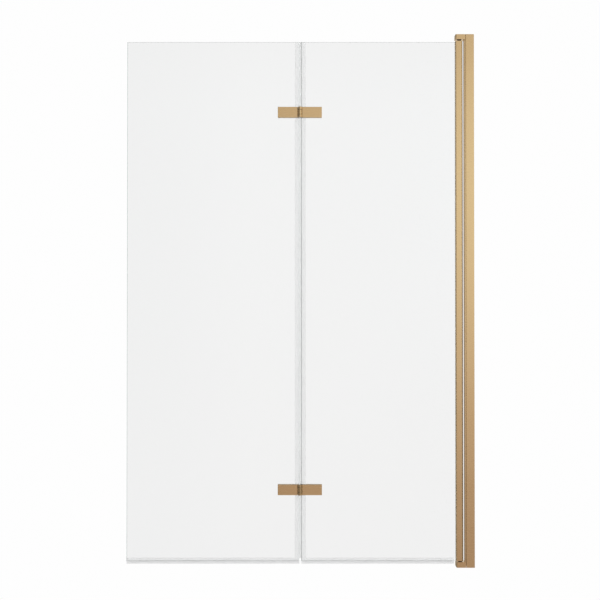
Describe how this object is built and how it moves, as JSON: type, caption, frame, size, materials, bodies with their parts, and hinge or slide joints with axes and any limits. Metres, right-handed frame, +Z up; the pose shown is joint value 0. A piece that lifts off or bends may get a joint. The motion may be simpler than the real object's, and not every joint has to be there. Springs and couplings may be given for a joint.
{
  "type": "folding bath screen",
  "caption": "Frameless folding bath screen: two clear glass panels joined by brass-finish glass hinges, turning on pivot blocks at a wall profile.",
  "frame": {"origin": "on the wall plane, in the middle of the screen's thickness, at the foot of the wall channel (the bath rim)", "axes": "+X into the wall, so the screen reaches to -X; +Z up; -Y is the front, to which the outer panel folds"},
  "size_m": [0.9124, 0.0307, 1.4],
  "materials": {
    "brass_finish": "brushed, brass-coloured",
    "bright_steel": "turned",
    "glass": "clear toughened",
    "clear_vinyl": "clear extruded",
    "nylon": "moulded, brown",
    "gasket_rubber": "matt"
  },
  "bodies": {
    "wall_profile": {"wall_channel": "brass_finish", "channel_top_cap": "brass_finish", "adjusting_profile": "brass_finish", "profile_fixing_screws": "bright_steel", "fixing_screw_caps": "brass_finish", "top_pivot_block": "brass_finish", "bottom_pivot_block": "brass_finish", "block_screws": "bright_steel", "top_pivot_pin": "bright_steel", "bottom_pivot_pin": "bright_steel"},
    "inner_panel": {"glass_profile": "brass_finish", "top_pivot_bush": "nylon", "bottom_pivot_bush": "nylon", "glazing_strip": "clear_vinyl", "inner_glass": "glass", "inner_bottom_seal": "clear_vinyl", "inner_seam_seal_lower": "clear_vinyl", "inner_seam_seal_middle": "clear_vinyl", "inner_seam_seal_upper": "clear_vinyl", "lower_hinge_inner_leaf": "brass_finish", "lower_hinge_inner_back_plate": "brass_finish", "lower_hinge_inner_gaskets": "gasket_rubber", "lower_hinge_inner_sleeves": "nylon", "lower_hinge_inner_screws": "bright_steel", "lower_hinge_pin": "bright_steel", "lower_hinge_washers": "nylon", "upper_hinge_inner_leaf": "brass_finish", "upper_hinge_inner_back_plate": "brass_finish", "upper_hinge_inner_gaskets": "gasket_rubber", "upper_hinge_inner_sleeves": "nylon", "upper_hinge_inner_screws": "bright_steel", "upper_hinge_pin": "bright_steel", "upper_hinge_washers": "nylon"},
    "outer_panel": {"outer_glass": "glass", "outer_bottom_seal": "clear_vinyl", "outer_seam_seal_lower": "clear_vinyl", "outer_seam_seal_middle": "clear_vinyl", "outer_seam_seal_upper": "clear_vinyl", "lower_hinge_outer_leaf": "brass_finish", "lower_hinge_outer_back_plate": "brass_finish", "lower_hinge_outer_gaskets": "gasket_rubber", "lower_hinge_outer_sleeves": "nylon", "lower_hinge_outer_screws": "bright_steel", "upper_hinge_outer_leaf": "brass_finish", "upper_hinge_outer_back_plate": "brass_finish", "upper_hinge_outer_gaskets": "gasket_rubber", "upper_hinge_outer_sleeves": "nylon", "upper_hinge_outer_screws": "bright_steel"}
  },
  "joints": [
    {"name": "wall_pivot", "type": "hinge", "parent": "wall_profile", "child": "inner_panel", "pos_m": [-0.0371, 0, 0.7], "axis": [0, 0, 1], "range_deg": [-90, 0]},
    {"name": "panel_fold", "type": "hinge", "parent": "inner_panel", "child": "outer_panel", "pos_m": [-0.45782, -0.0095, 0.7], "axis": [0, 0, 1], "range_deg": [0, 180]}
  ]
}
